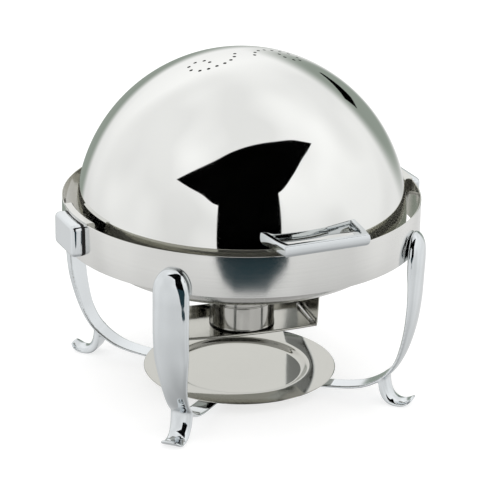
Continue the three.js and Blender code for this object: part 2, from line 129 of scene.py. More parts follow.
def turned(name, profile, steps=160, centre=(0.0, 0.0), sharp=40.0):
    """Turns a profile of (radius, z), in millimetres from the pivot, about a vertical axis."""
    points = []
    rows = []
    for radius, z in profile:
        if radius < 1e-6:
            rows.append([len(points)] * steps)
            points.append(at_pivot(centre[0], centre[1], z))
            continue
        rows.append(list(range(len(points), len(points) + steps)))
        for i in range(steps):
            t = 2 * math.pi * i / steps
            points.append(at_pivot(centre[0] + radius * math.cos(t), centre[1] + radius * math.sin(t), z))
    open_profile = profile[0][0] < 1e-6
    faces = []
    for i in range(len(rows) - (1 if open_profile else 0)):
        a = rows[i]
        b = rows[(i + 1) % len(rows)]
        for j in range(steps):
            k = (j + 1) % steps
            face = [a[j], a[k], b[k], b[j]]
            faces.append(tuple(dict.fromkeys(face)))
    return build(name, points, [f for f in faces if len(f) > 2], sharp)


def rounded(points, radius, steps=4, closed=False):
    """The polyline with each corner replaced by a small curve. radius may be one per point."""
    count = len(points)
    radii = radius if isinstance(radius, (list, tuple)) else [radius] * count
    out = []
    for i, p in enumerate(points):
        inside = closed or 0 < i < count - 1
        if not inside or radii[i] <= 0:
            out.append(tuple(p))
            continue
        here = Vector(p)
        back = Vector(points[i - 1]) - here
        ahead = Vector(points[(i + 1) % count]) - here
        cut = min(radii[i], back.length * 0.45, ahead.length * 0.45)
        start = here + back.normalized() * cut
        end = here + ahead.normalized() * cut
        for j in range(steps + 1):
            t = j / steps
            out.append(tuple(start * (1 - t) ** 2 + here * (2 * t * (1 - t)) + end * t**2))
    return out


def arc(r, z, a, b, start, end, count):
    out = []
    for i in range(count + 1):
        t = math.radians(start + (end - start) * i / count)
        out.append((r + a * math.cos(t), z + b * math.sin(t)))
    return out


def spline(stations, parts):
    """A smooth curve through rows of numbers."""
    out = []
    last = len(stations) - 1
    for i in range(last):
        p0, p1 = stations[max(i - 1, 0)], stations[i]
        p2, p3 = stations[i + 1], stations[min(i + 2, last)]
        for j in range(parts):
            t = j / parts
            row = []
            for a, b, c, d in zip(p0, p1, p2, p3):
                row.append(
                    0.5
                    * (
                        2 * b
                        + (c - a) * t
                        + (2 * a - 5 * b + 4 * c - d) * t**2
                        + (3 * b - a - 3 * c + d) * t**3
                    )
                )
            out.append(row)
    return out + [list(stations[-1])]


def sweep_round(name, path, radius, sides=16):
    """A round bar along a path of points, with flat ends."""
    rings = []
    for i, p in enumerate(path):
        along = (path[min(i + 1, len(path) - 1)] - path[max(i - 1, 0)]).normalized()
        side = along.cross(Vector((0, 0, 1))).normalized()
        up = side.cross(along)
        rings.append(circle(p, side, up, radius, sides))
    return skin(name, rings)


def applied(piece):
    """The piece with its modifiers made real."""
    graph = bpy.context.evaluated_depsgraph_get()
    mesh = bpy.data.meshes.new_from_object(piece.evaluated_get(graph))
    piece.modifiers.clear()
    piece.data = mesh
    return piece


def joined(name, pieces):
    """One object that holds the meshes of several."""
    points = []
    faces = []
    for piece in pieces:
        start = len(points)
        points += [v.co.copy() for v in piece.data.vertices]
        faces += [tuple(start + i for i in p.vertices) for p in piece.data.polygons]
        bpy.data.objects.remove(piece)
    mesh = bpy.data.meshes.new(name)
    mesh.from_pydata([tuple(p) for p in points], [], faces)
    mesh.shade_smooth()
    mesh.set_sharp_from_angle(angle=math.radians(40))
    return linked(name, mesh)


def turn_mesh(mesh, t):
    """Turns a mesh by t radians about the vertical axis through the pivot."""
    for v in mesh.vertices:
        x = v.co.x - PIVOT.x
        y = v.co.y - PIVOT.y
        v.co.x = PIVOT.x + x * math.cos(t) - y * math.sin(t)
        v.co.y = PIVOT.y + x * math.sin(t) + y * math.cos(t)
    mesh.update()


def turned_copy(piece, name, degrees):
    mesh = piece.data.copy()
    turn_mesh(mesh, math.radians(degrees))
    return linked(name, mesh)


def turn_shelf(piece):
    """Turns a piece on the shelf as far as the shelf itself is turned."""
    turn_mesh(piece.data, SHELF_TURN)


def bevel_edges(piece, angle):
    """Rounds the edges that are sharper than an angle in degrees."""
    bevel = piece.modifiers.new("edges", "BEVEL")
    bevel.width = EDGE_WIDTH
    bevel.segments = 2
    bevel.limit_method = "ANGLE"
    bevel.angle_limit = math.radians(angle)
    return bevel


# ---- materials ----
class Nodes:
    """Short calls for wiring a material."""

    def __init__(self, name):
        self.material = bpy.data.materials.new(name)
        self.material.use_nodes = True
        self.tree = self.material.node_tree
        self.shader = self.tree.nodes["Principled BSDF"]
        coordinates = self.tree.nodes.new("ShaderNodeTexCoord")
        self.place = coordinates.outputs["Object"]

    def link(self, a, b):
        self.tree.links.new(a, b)

    def scaled(self, scale, vector=None):
        node = self.tree.nodes.new("ShaderNodeMapping")
        node.inputs["Scale"].default_value = scale
        node.inputs["Location"].default_value = (0.37, 0.21, 0.13)
        self.link(vector or self.place, node.inputs["Vector"])
        return node.outputs["Vector"]

    def noise(self, scale, vector=None, detail=3.0, rough=0.5):
        node = self.tree.nodes.new("ShaderNodeTexNoise")
        node.inputs["Scale"].default_value = 1.0
        node.inputs["Detail"].default_value = detail
        node.inputs["Roughness"].default_value = rough
        self.link(self.scaled(scale, vector), node.inputs["Vector"])
        return node.outputs["Fac"]

    def fit(self, value, low, high, to_low, to_high):
        node = self.tree.nodes.new("ShaderNodeMapRange")
        self.link(value, node.inputs["Value"])
        for key, number in (("From Min", low), ("From Max", high), ("To Min", to_low), ("To Max", to_high)):
            node.inputs[key].default_value = number
        return node.outputs["Result"]

    def math(self, operation, a, b):
        node = self.tree.nodes.new("ShaderNodeMath")
        node.operation = operation
        for socket, value in zip(node.inputs, (a, b)):
            if isinstance(value, (int, float)):
                socket.default_value = value
            else:
                self.link(value, socket)
        return node.outputs["Value"]

    def mix(self, factor, a, b):
        node = self.tree.nodes.new("ShaderNodeMix")
        node.data_type = "RGBA"
        self.link(factor, node.inputs["Factor"])
        for socket, colour in ((node.inputs[6], a), (node.inputs[7], b)):
            if isinstance(colour, tuple):
                socket.default_value = (*colour, 1)
            else:
                self.link(colour, socket)
        return node.outputs[2]

    def bump(self, height, strength, distance, before=None):
        node = self.tree.nodes.new("ShaderNodeBump")
        if isinstance(strength, float):
            node.inputs["Strength"].default_value = strength
        else:
            self.link(strength, node.inputs["Strength"])
        node.inputs["Distance"].default_value = distance
        self.link(height, node.inputs["Height"])
        if before:
            self.link(before, node.inputs["Normal"])
        return node.outputs["Normal"]

    def reach(self, layer, upright):
        """Whether a point lies under the outer skin, and whether it lies on the far side of the wall."""
        radius, wall = layer
        node = self.tree.nodes.new("ShaderNodeVectorMath")
        node.operation = "DISTANCE"
        self.link(self.radius() if upright else self.place, node.inputs[0])
        node.inputs[1].default_value = (0, 0, 0) if upright else PIVOT
        distance = node.outputs["Value"]
        return (self.fit(distance, radius - 0.0002, radius - 0.0001, 1, 0),
                self.fit(distance, radius - wall, radius - wall + 0.0001, 1, 0))

    def radius(self):
        """Distance from the vertical axis through the pivot, as a vector for concentric marks."""
        shift = self.tree.nodes.new("ShaderNodeVectorMath")
        shift.operation = "MULTIPLY_ADD"
        self.link(self.place, shift.inputs[0])
        shift.inputs[1].default_value = (1, 1, 0)
        shift.inputs[2].default_value = (0, -PIVOT.y, 0)
        length = self.tree.nodes.new("ShaderNodeVectorMath")
        length.operation = "LENGTH"
        self.link(shift.outputs["Vector"], length.inputs[0])
        made = self.tree.nodes.new("ShaderNodeCombineXYZ")
        self.link(length.outputs["Value"], made.inputs["X"])
        return made.outputs["Vector"]


def metal(name, colour, rough, tint=0.03, grain=None, grain_depth=0.0, scratch=0.0, wave=0.0, aniso=0.0,
          concentric=False, spread=0.03, edge=0.0, inside=None, painted_foot_shade=None):
    """A bare metal: base colour that drifts a little, brush grain, fine scratches, waviness and worn edges.

    inside is (radius, wall, colour, roughness, upright, dullness): within the radius the metal has its
    other face, and the wall between the two faces, such as the sides of the vent holes, is painted near-black
    as painted shade.
    The last argument is a height below which the base colour is painted near-black: painted shade, a painted
    contact shadow at the foot of the cup.
    """
    n = Nodes(name)
    shader = n.shader
    shader.inputs["Metallic"].default_value = 1.0
    drift = n.noise((9, 9, 9), detail=4)
    dark = tuple(c * (1 - tint) for c in colour)
    light = tuple(min(1, c * (1 + tint)) for c in colour)
    base = n.mix(n.fit(drift, 0.3, 0.7, 0, 1), dark, light)
    around = n.radius() if concentric else None
    roughness = n.fit(n.noise((23, 23, 31), detail=5), 0.3, 0.7, rough - spread, rough + spread)
    normal = None
    depth = n.reach(inside[0:2], inside[4]) if inside else None
    if grain:
        lines = n.noise(grain, around, detail=2, rough=0.6)
        roughness = n.math("ADD", roughness, n.fit(lines, 0.35, 0.65, -spread * 0.7, spread * 0.7))
        base = n.mix(n.fit(lines, 0.35, 0.65, 0, 0.5), base, tuple(c * 0.93 for c in colour))
        strength = n.math("MULTIPLY", n.math("SUBTRACT", 1, depth[0]), grain_depth) if depth else grain_depth
        normal = n.bump(lines, strength, 0.0002)
    if scratch:
        streaks = n.noise((60, 900, 700), detail=2)
        crossed = n.noise((800, 70, 500), detail=2)
        marks = n.math("MAXIMUM", n.fit(streaks, 0.68, 0.74, 0, 1), n.fit(crossed, 0.69, 0.75, 0, 1))
        roughness = n.math("ADD", roughness, n.math("MULTIPLY", marks, scratch))
    if wave:
        normal = n.bump(n.noise((14, 14, 14), detail=1), wave, 0.002, normal)
    if edge:
        geometry = n.tree.nodes.new("ShaderNodeNewGeometry")
        worn = n.fit(geometry.outputs["Pointiness"], 0.52, 0.6, 0, 1)
        base = n.mix(n.math("MULTIPLY", worn, edge), base, tuple(min(1, c * 1.12) for c in colour))
        roughness = n.math("ADD", roughness, n.math("MULTIPLY", worn, 0.08 * edge))
    if aniso:
        shader.inputs["Anisotropic"].default_value = aniso
        shader.inputs["Anisotropic Rotation"].default_value = 0.25
        tangent = n.tree.nodes.new("ShaderNodeTangent")
        tangent.direction_type = "RADIAL"
        tangent.axis = "Z"
        n.link(tangent.outputs["Tangent"], shader.inputs["Tangent"])
    if inside:
        under, through = depth
        # Painted shade: the wall between the outer skin and the far face, such as the sides of the vent
        # holes, is painted near-black.
        base = n.mix(under, base, n.mix(through, (0.05, 0.05, 0.05), inside[2]))
        roughness = n.math("ADD", n.math("MULTIPLY", roughness, n.math("SUBTRACT", 1, under)),
                           n.math("MULTIPLY", under, inside[3]))
        n.link(n.math("SUBTRACT", 1, n.math("MULTIPLY", under, inside[5])), shader.inputs["Metallic"])
    # Painted shade: below this height the base ring is painted near-black, a painted contact shadow where the
    # cup stands on the shelf.
    if painted_foot_shade:
        split = n.tree.nodes.new("ShaderNodeSeparateXYZ")
        n.link(n.place, split.inputs["Vector"])
        below = n.fit(split.outputs["Z"], painted_foot_shade - 0.0002, painted_foot_shade, 1, 0)
        base = n.mix(below, base, (0.02, 0.02, 0.018))
    n.link(base, shader.inputs["Base Color"])
    n.link(n.math("MAXIMUM", roughness, 0.015), shader.inputs["Roughness"])
    if normal:
        n.link(normal, shader.inputs["Normal"])
    return n.material


def rubber(name):
    n = Nodes(name)
    grain = n.noise((1400, 1400, 1400), detail=3)
    n.link(n.mix(grain, (0.006, 0.006, 0.007), (0.02, 0.02, 0.021)), n.shader.inputs["Base Color"])
    n.link(n.fit(grain, 0.3, 0.7, 0.5, 0.75), n.shader.inputs["Roughness"])
    n.link(n.bump(grain, 0.25, 0.0002), n.shader.inputs["Normal"])
    return n.material


MATERIALS = {
    "polished_dome": metal("polished_dome", (0.82, 0.825, 0.81), 0.035, tint=0.012, scratch=0.03, wave=0.012,
                           spread=0.012,
                           inside=(DOME_R, DOME_WALL - 0.0001, (0.6, 0.6, 0.585), 0.18, False, 0.0)),
    "brushed_band": metal("brushed_band", (0.76, 0.76, 0.745), 0.14, tint=0.02, grain=(4, 4, 3400),
                          grain_depth=0.035, scratch=0.04, aniso=0.8, spread=0.03,
                          inside=(RING_R - 0.0006, 0.0002, (0.53, 0.52, 0.46), 0.07, True, 0.25)),
    "cast_chrome": metal("cast_chrome", (0.72, 0.75, 0.77), 0.07, tint=0.03, scratch=0.05, wave=0.16,
                         spread=0.02, edge=0.5),
    "pan_steel": metal("pan_steel", (0.74, 0.735, 0.71), 0.22, tint=0.03, grain=(1800, 3, 3),
                       grain_depth=0.05, scratch=0.08, concentric=True, spread=0.05),
    "plate_steel": metal("plate_steel", (0.532, 0.529, 0.494), 0.05, tint=0.02, grain=(2600, 3, 3),
                         grain_depth=0.01, scratch=0.06, wave=0.012, concentric=True, spread=0.02),
    "shelf_steel": metal("shelf_steel", (0.50, 0.495, 0.456), 0.13, tint=0.04, grain=(12, 1500, 300),
                         grain_depth=0.03, scratch=0.1, wave=0.04, spread=0.04),
    "cup_steel": metal("cup_steel", (0.48, 0.475, 0.45), 0.16, tint=0.05, grain=(90, 90, 9), grain_depth=0.06,
                       scratch=0.06, aniso=0.7, spread=0.05, painted_foot_shade=PIVOT.z + CUP_FOOT_SHADE_Z * MM),
    "inner_steel": metal("inner_steel", (0.68, 0.68, 0.655), 0.09, tint=0.04, grain=(15, 900, 900),
                         grain_depth=0.04, scratch=0.1, spread=0.05, edge=0.4),
    "screw_steel": metal("screw_steel", (0.62, 0.62, 0.61), 0.2, tint=0.06, scratch=0.12, spread=0.06,
                         edge=0.6),
    "can_metal": metal("can_metal", (0.70, 0.69, 0.66), 0.3, tint=0.05, grain=(8, 8, 1500), grain_depth=0.05,
                       scratch=0.1, spread=0.06, edge=0.4),
    "gasket_black": rubber("gasket_black"),
}


def place(piece, body, slot, *nodes):
    """Gives a rebuilt piece its body, its material slot and the CAD nodes that it stands for."""
    piece.data.materials.clear()
    piece.data.materials.append(MATERIALS[slot])
    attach(piece, body)
    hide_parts(*nodes)
    return piece


# ---- cover ----
# A scroll of vent holes is an arc that runs into a loop. Places are (x, y) in millimetres from the pivot.
VENT_CENTRE = (-1.5, -6.5)
VENT_HOLE_R = 2.0
VENT_TAIL = (-38, 7.5)
VENT_TAIL_R = 28.2
VENT_TAIL_START, VENT_TAIL_STEP = -16.6, -20
VENT_LOOP = [(-50.9, -19.8), (-59.7, -15.9), (-66, -6), (-64.2, 4.5), (-55.2, 8.1), (-46.3, 3.3),
             (-43.6, -5.7)]


def vent_holes():
    """The centres of one scroll and of its half-turn copy."""
    tail = []
    for i in range(5):
        t = math.radians(VENT_TAIL_START + VENT_TAIL_STEP * i)
        tail.append((VENT_TAIL[0] + VENT_TAIL_R * math.cos(t), VENT_TAIL[1] + VENT_TAIL_R * math.sin(t)))
    scroll = tail + VENT_LOOP
    return scroll + [(2 * VENT_CENTRE[0] - x, 2 * VENT_CENTRE[1] - y) for x, y in scroll]


def cutter(name, start, end, radius, sides=28):
    """A bar that cuts a round hole, its radius in millimetres."""
    along = (end - start).normalized()
    side = along.orthogonal().normalized()
    up = along.cross(side)
    return skin(name, [circle(p, side, up, radius * MM, sides) for p in (start, end)])


def dome_arc(radius, steps):
    """The cover's profile at a radius, from its rim to its top."""
    rim = math.asin(DOME_RIM_Z / radius)
    turns = [rim + (math.pi / 2 - rim) * i / steps for i in range(steps + 1)]
    return [(radius * math.cos(t), radius * math.sin(t)) for t in turns]


def make_dome():
    outer = DOME_R / MM
    inner = outer - DOME_WALL / MM
    profile = [(0.0, outer)] + dome_arc(outer, 96)[:-1][::-1] + dome_arc(inner, 64)[:-1] + [(0.0, inner)]
    dome = turned("dome_shell", profile, steps=256)
    holes = [cutter("vent", at_pivot(x, y, 150), at_pivot(x, y, 200), VENT_HOLE_R) for x, y in vent_holes()]
    holes += [cutter("pin", at_pivot(s * 170, 0, 0), at_pivot(s * 200, 0, 0), 4.3) for s in (-1, 1)]
    tool = joined("dome_holes", holes)
    cut = dome.modifiers.new("holes", "BOOLEAN")
    cut.operation = "DIFFERENCE"
    cut.solver = "EXACT"
    cut.object = tool
    applied(dome)
    bpy.data.objects.remove(tool)
    mesh = dome.data
    mesh.shade_smooth()
    normals = []
    for polygon in mesh.polygons:
        reach = [(mesh.vertices[i].co - PIVOT).length for i in polygon.vertices]
        sign = 1 if min(reach) > DOME_R - 0.0002 else -1 if max(reach) < DOME_R - DOME_WALL + 0.0002 else 0
        for i in polygon.vertices:
            out = (mesh.vertices[i].co - PIVOT).normalized()
            normals.append(tuple(out * sign) if sign else tuple(polygon.normal))
    mesh.normals_split_custom_set(normals)
    return place(dome, "cover", "polished_dome", "dome_cover")


# Cross section of the handle rail: (outward, up) in millimetres from the middle of its top face.
RAIL = [(-3, 0), (2.6, 0), (3.6, -1), (RAIL_REACH, -5), (4.2, -9), (2.4, -12.4), (-0.4, -14),
        (-2.6, -12.6), (-3.4, -8), (-3.4, -3)]


def make_handle():
    section = rounded(RAIL, [0.7, 0.7, 1.2, 1.8, 1.8, 1.8, 1.8, 1.8, 1.8, 0.9], steps=3, closed=True)
    half, front = HANDLE_HALF - RAIL_REACH, RAIL_REACH - HANDLE_FRONT
    rings = []

    def station(x, y, along, grow, on_dome=False):
        ring = []
        for u, up in section:
            px = x + along[0] * u * grow
            py = y + along[1] * u * grow
            pz = HANDLE_TOP + up
            if on_dome:
                reach = DOME_R / MM + 0.15
                py = -math.sqrt(reach**2 - px**2 - pz**2)
            ring.append(at_pivot(px, py, pz))
        rings.append(ring)

    corner = math.sqrt(2)
    mitre = corner / 2
    station(-53, -170, (-1, 0), 1, on_dome=True)
    station(-52, -182, (-1, 0), 1)
    station(-49.6, -205, (-1, 0), 1)
    station(-half, front, (-mitre, -mitre), corner)
    station(0, front, (0, -1), 1)
    station(half, front, (mitre, -mitre), corner)
    station(49.6, -205, (1, 0), 1)
    station(52, -182, (1, 0), 1)
    station(53, -170, (1, 0), 1, on_dome=True)
    rail = skin("handle_rail", rings, sharp=35)
    bevel_edges(rail, 38)
    return place(rail, "cover", "cast_chrome", "handle")


# ---- frame ----
def make_ring():
    r, wall = RING_R / MM, RING_WALL / MM
    corners = [(r, RING_BOTTOM), (r, RING_TOP), (r - wall, RING_TOP), (r - wall, RING_BOTTOM)]
    profile = rounded(corners, 0.55, steps=3, closed=True)
    hoop = turned("ring_hoop", profile, steps=288, sharp=60)
    return place(hoop, "frame", "brushed_band", "ring_band")


# Stations of the leg: (inner radius, z, outer radius, z, half width), millimetres from the pivot.
LEG = [
    (205.4, 5, 207.8, 5.4, 4.5), (205.4, 3.2, 212, 4, 9), (205.4, -1.5, 215.8, -1, 14.2),
    (205.4, -9, 218.5, -9, 18.6), (205.4, -18, 219.4, -18, 20.8), (205.4, -29, 219.5, -29, 21),
    (205.5, -40, 219, -40, 21), (206.6, -54, 218.3, -53, 21), (206.8, -75, 217, -76, 21),
    (205.4, -97, 214.3, -99, 20.6), (202.8, -115, 210.8, -117.5, 18.6), (199, -132, 206, -135, 16.4),
    (195, -146, 200.6, -149, 14.8), (190, -157, 194.2, -161.2, 14), (184, -166.5, 186.7, -171, 13.6),
    (176.5, -174, 178.4, -178.6, 13.2), (167, -181, 168.7, -185.6, 12.8), (155.5, -187, 156.7, -191.6, 12.5),
    (143, -190.8, 143.6, -195.2, 12.3), (130, -193.2, 130.3, -197.2, 12.2), (112, -195.4, 112, -199, 12.1),
    (92, -197.6, 92, -201.1, 12), (80, -198.1, 80, -201.6, 12), (50, -198.1, 50, -201.6, 12),
    (20, -198.1, 20, -201.6, 12),
]
FOOT = [
    (176, -174, 185.5, -167, 12.6), (174.5, -182, 185.2, -175.5, 12.8), (176, -190.5, 186.3, -184, 12.6),
    (179, -198, 188.4, -190.8, 12.2), (184, -203.6, 191.6, -196.2, 12), (190, -206.4, 195.8, -199.4, 12),
    (196.5, -207, 200.2, -200.8, 12.2), (203.5, -206, 205, -200.4, 12.6),
    (209.5, -203.2, 209.2, -198.4, 12.2), (213.2, -200, 212, -196.2, 10), (214.6, -198.2, 213.4, -196, 7),
]


def leg_ring(row, count=22):
    inner_r, inner_z, outer_r, outer_z, half = row

    def at(depth, w):
        return at_pivot(inner_r + (outer_r - inner_r) * depth, w, inner_z + (outer_z - inner_z) * depth)

    ring = [at(0.16, half), at(0.04, half * 0.95), at(0, half * 0.86), at(0, 0), at(0, -half * 0.86),
            at(0.04, -half * 0.95), at(0.16, -half)]
    for i in range(1, count):
        t = math.pi * i / count
        ring.append(at(0.3 + 0.7 * math.sin(t) ** 0.9, -half * math.cos(t)))
    return ring


def make_legs():
    strap = skin("strap", [leg_ring(row) for row in spline(LEG, 5)])
    foot = skin("foot", [leg_ring(row) for row in spline(FOOT, 5)])
    leg = joined("leg_blank", [strap, foot])
    remesh = leg.modifiers.new("one_casting", "REMESH")
    remesh.mode = "VOXEL"
    remesh.voxel_size = 0.8 * MM
    smooth = leg.modifiers.new("cast_smooth", "SMOOTH")
    smooth.factor = 0.5
    smooth.iterations = 22
    applied(leg)
    leg.data.shade_smooth()
    for name, angle in LEGS:
        place(turned_copy(leg, "leg_casting_" + name, angle), "frame", "cast_chrome", "leg_" + name)
    bpy.data.objects.remove(leg)


def rounded_outline(half_y, low_z, high_z, radius, steps=8):
    """Corners of an upright rounded rectangle as (y, z), anticlockwise."""
    out = []
    for cy, cz, start in (
        (half_y - radius, high_z - radius, 0),
        (radius - half_y, high_z - radius, 90),
        (radius - half_y, low_z + radius, 180),
        (half_y - radius, low_z + radius, 270),
    ):
        for i in range(steps + 1):
            t = math.radians(start + 90 * i / steps)
            out.append((cy + radius * math.cos(t), cz + radius * math.sin(t)))
    return out


def make_blocks():
    for side, sign in SIDES:
        low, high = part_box("hinge_block_" + side)
        half_y = (high.y - low.y) / 2 / MM
        low_z, high_z = (low.z - PIVOT.z) / MM, (high.z - PIVOT.z) / MM
        face, edge, corner = BLOCK_FACE / MM, 5.5, 6.5
        seat = 207.35

        def ring(x, inset):
            points = rounded_outline(half_y - inset, low_z + inset, high_z - inset, max(corner - inset, 0.8))
            return [at_pivot(sign * (x if x else math.sqrt(seat**2 - y * y)), y, z) for y, z in points]

        rings = [ring(None, 0.0), ring(face - edge, 0.0)]
        for i in range(1, 9):
            t = math.radians(90 * i / 8)
            rings.append(ring(face - edge * (1 - math.sin(t)), edge * (1 - math.cos(t))))
        rings.append(ring(face, edge + 0.6))
        block = skin("pivot_block_" + side, rings, sharp=50)
        place(block, "frame", "cast_chrome", "hinge_block_" + side)
        outline = rounded_outline(half_y - 0.5, low_z + 0.6, high_z - 0.2, 5.5)
        faces = [[at_pivot(sign * math.sqrt(reach**2 - y * y), y, z) for y, z in outline]
                 for reach in (205.2, 207.2)]
        gasket = skin("pivot_gasket_" + side, faces, sharp=50)
        place(gasket, "frame", "gasket_black", "hinge_gasket_" + side)


# ---- pans, plate, burner ----
def make_pans():
    water = (
        [(0.0, -56.0), (70, -56.0)]
        + arc(138, -22, 38, 34, -90, 0, 28)
        + rounded([(176, -22), (176, -9.0), (166, -9.0), (166, -10.2), (174.8, -10.2), (174.8, -22)],
                  [0, 1.0, 0.5, 0.5, 0.5, 0])[1:-1]
        + arc(138, -22, 36.8, 32.8, 0, -90, 28)
        + [(70, -54.8), (0.0, -54.8)]
    )
    place(turned("water_pan_shell", water, steps=224), "frame", "pan_steel", "water_pan")
    top = -7.5
    food = (
        [(0.0, -50.0), (60, -50.0)]
        + arc(130, -22, 31, 28, -90, 0, 24)
        + rounded([(161, -22), (161.4, top - 1.2), (170, top - 1.2), (171, top - 0.6), (170, top),
                   (160.2, top), (159.8, -22)], [0, 1.2, 0.3, 0.5, 0.3, 2.0, 0])[1:-1]
        + arc(130, -22, 29.8, 26.8, 0, -90, 24)
        + [(60, -48.8), (0.0, -48.8)]
    )
    place(turned("food_pan_shell", food, steps=224), "food_tray", "pan_steel", "food_pan")


def make_plate():
    z, well = -191.0, -197.8
    under = rounded([(0.0, well), (74, well), (78.5, z - 4), (81, z - 1.4), (84, z - 1.1), (111.6, z - 1.1),
                     (112.4, z - 0.4)], [0, 2, 2, 2, 1.5, 0.4, 0])
    over = rounded([(112.4, z - 0.4), (111.8, z + 0.3), (83.4, z), (79.4, z - 1), (76.6, z - 3.8),
                    (73, well + 1.1), (0.0, well + 1.1)], [0, 0.5, 2.2, 2.2, 2.2, 3, 0])
    plate = turned("drip_plate", under + over[1:], steps=224, sharp=60)
    return place(plate, "drip_plate", "plate_steel", "lower_plate")


def shelf_front(x):
    """The shelf's front edge, which bows forwards in the middle."""
    return -39 + 6 * (x / 83.5) ** 2


def make_shelf():
    top = -56.4
    corners = [(70, top), (88, top), (83.5, -137.6), (40, -137.6), (0, -137.6)]
    half = rounded(corners, [0, 2.5, 3.5, 0, 0], steps=6)
    line = half[:-1] + [(-x, z) for x, z in half[::-1]]
    rings = []
    for i, (x, z) in enumerate(line):
        a, b = line[max(i - 1, 0)], line[min(i + 1, len(line) - 1)]
        length = math.hypot(b[0] - a[0], b[1] - a[1])
        nx, nz = (b[1] - a[1]) / length * 0.6, -(b[0] - a[0]) / length * 0.6
        front = shelf_front(min(abs(x), 83.5))
        rings.append([
            at_pivot(x + nx, front, z + nz), at_pivot(x + nx, 41, z + nz),
            at_pivot(x - nx, 41, z - nz), at_pivot(x - nx, front, z - nz),
        ])
    sheet = skin("shelf_sheet", rings, sharp=50)
    lip_path = [at_pivot(x, shelf_front(x), -136.9) for x in [83 * (2 * i / 40 - 1) for i in range(41)]]
    lip = sweep_round("shelf_lip", lip_path, LIP_RADIUS * MM)
    back = rounded([(41, -137.6), (41, -128.6), (40.4, -128.0), (39.8, -128.6), (39.8, -137.6)], 0.4,
                   closed=True)
    upstand = skin("shelf_upstand", [[at_pivot(x, y, z) for y, z in back] for x in (-84, 84)])
    shelf = joined("shelf_folded", [sheet, lip, upstand])
    turn_shelf(shelf)
    return place(shelf, "frame", "shelf_steel", "burner_shelf")


def make_burner():
    base, top, r = -136.7, -92.0, 37.5
    cup = rounded(
        [(0.0, base), (r + 0.6, base), (r + 0.6, base + 2.5), (r, base + 3.2), (r, -107.6), (r - 0.8, -107),
         (r - 0.8, -106), (r, -105.4), (r, top - 1.4), (r + 0.8, top - 0.7), (r, top), (r - 2.2, top),
         (r - 2.2, base + 1.2), (0.0, base + 1.2)],
        [0, 0.8, 0.5, 0.5, 0.4, 0.3, 0.3, 0.4, 0.4, 0.6, 0.5, 0.5, 1.5, 0],
        steps=3,
    )
    body = turned("cup", cup, steps=144, centre=CUP_MM)
    lug = skin("lug", [
        [at_pivot(CUP_MM[0] + x, CUP_MM[1] + y, z) for x, y in lug_outline(36.4, 48)] for z in (-95, -92.2)
    ])
    holder = joined("burner_holder", [body, lug])
    turn_shelf(holder)
    place(holder, "burner", "cup_steel", "burner_cup")
    low = base + 1.5
    can = rounded(
        [(0.0, low), (34.5, low), (34.5, top - 4), (33.4, top - 3.6), (32.6, top - 4.4), (20, top - 4.4),
         (19.4, top - 3.6), (18.6, top - 4.4), (18.6, top - 14), (0.0, top - 14)],
        [0, 1.2, 0.5, 0.4, 0.4, 0.4, 0.3, 0.4, 0.8, 0],
        steps=3,
    )
    tin = turned("fuel_tin", can, steps=120, centre=CUP_MM)
    turn_shelf(tin)
    place(tin, "burner", "can_metal", "fuel_can")
    z = top + 0.3
    lid = rounded([(0.0, z), (35, z), (35, z + 1.2), (30, z + 2.5), (8, z + 2.0), (0.0, z + 2.2)],
                  [0, 0.4, 0.8, 2.0, 3.0, 0], steps=4)
    disc = turned("disc", lid, steps=120, centre=CUP_MM)
    ear = skin("ear", [
        [at_pivot(CUP_MM[0] + x, CUP_MM[1] + y, h) for x, y in lug_outline(30, 48)] for h in (z, z + 1.3)
    ])
    tab = skin("tab", [
        [at_pivot(CUP_MM[0] + x, CUP_MM[1] - y, h) for x, y in lug_outline(28, 38)] for h in (z, z + 1.3)
    ])
    damper = joined("damper_lid", [disc, ear, tab])
    turn_shelf(damper)
    place(damper, "damper", "cup_steel", "burner_lid")


def lug_outline(start, end, half=5.0):
    """A tab with a round end, as (x, y) outlines in millimetres."""
    out = [(half, start), (half, end - half)]
    for i in range(1, 12):
        t = math.pi * i / 12
        out.append((half * math.cos(t), end - half + half * math.sin(t)))
    return out + [(-half, end - half), (-half, start)]


def make_screw(node, body, head_at, along, head_r, head_h, shank_r, shank):
    """A pan-head screw with a socket. head_at is the middle of the head's underside.

    along points down the shank. The other sizes are in millimetres.
    """
    axis = Vector(along).normalized()
    side = axis.orthogonal().normalized()
    up = axis.cross(side)
    profile = rounded(
        [(0.0, -head_h * 0.35), (head_r * 0.36, -head_h * 0.35), (head_r * 0.42, -head_h),
         (head_r * 0.7, -head_h), (head_r, -head_h * 0.45), (head_r, 0), (shank_r, 0),
         (shank_r, shank - 0.4), (shank_r - 0.4, shank), (0.0, shank)],
        [0, 0.1, 0.2, 0.8, 0.8, 0.2, 0, 0, 0, 0],
        steps=3,
    )
    rings = [circle(head_at + axis * depth * MM, side, up, max(radius, 0.02) * MM, 32)
             for radius, depth in profile]
    place(skin(node + "_head", rings), body, "screw_steel", node)


def make_screws():
    for name, degrees in LEGS:
        t = math.radians(degrees)
        out = Vector((math.cos(t), math.sin(t), 0))
        band = PIVOT + (out * 203.2 + Vector((0, 0, -17))) * MM
        hub = PIVOT + (out * 26 + Vector((0, 0, -204.2))) * MM
        make_screw("leg_screw_" + name, "frame", band, out, 4.4, 2.4, 2.0, 8)
        make_screw("hub_screw_" + name, "frame", hub, (0, 0, 1), 4.0, 1.8, 2.0, 5)
    for side, sign in SIDES:
        for end, y in (("front", -18), ("back", 18)):
            seat = at_pivot(sign * 202.2, y, 0)
            make_screw(f"block_screw_{side}_{end}", "frame", seat, (sign, 0, 0), 4.0, 2.2, 2.0, 9)
        arm = at_pivot(sign * 52, -174.6, 36.5)
        make_screw("handle_screw_" + side, "cover", arm, (0, -1, 0), 3.4, 2.0, 1.5, 16)


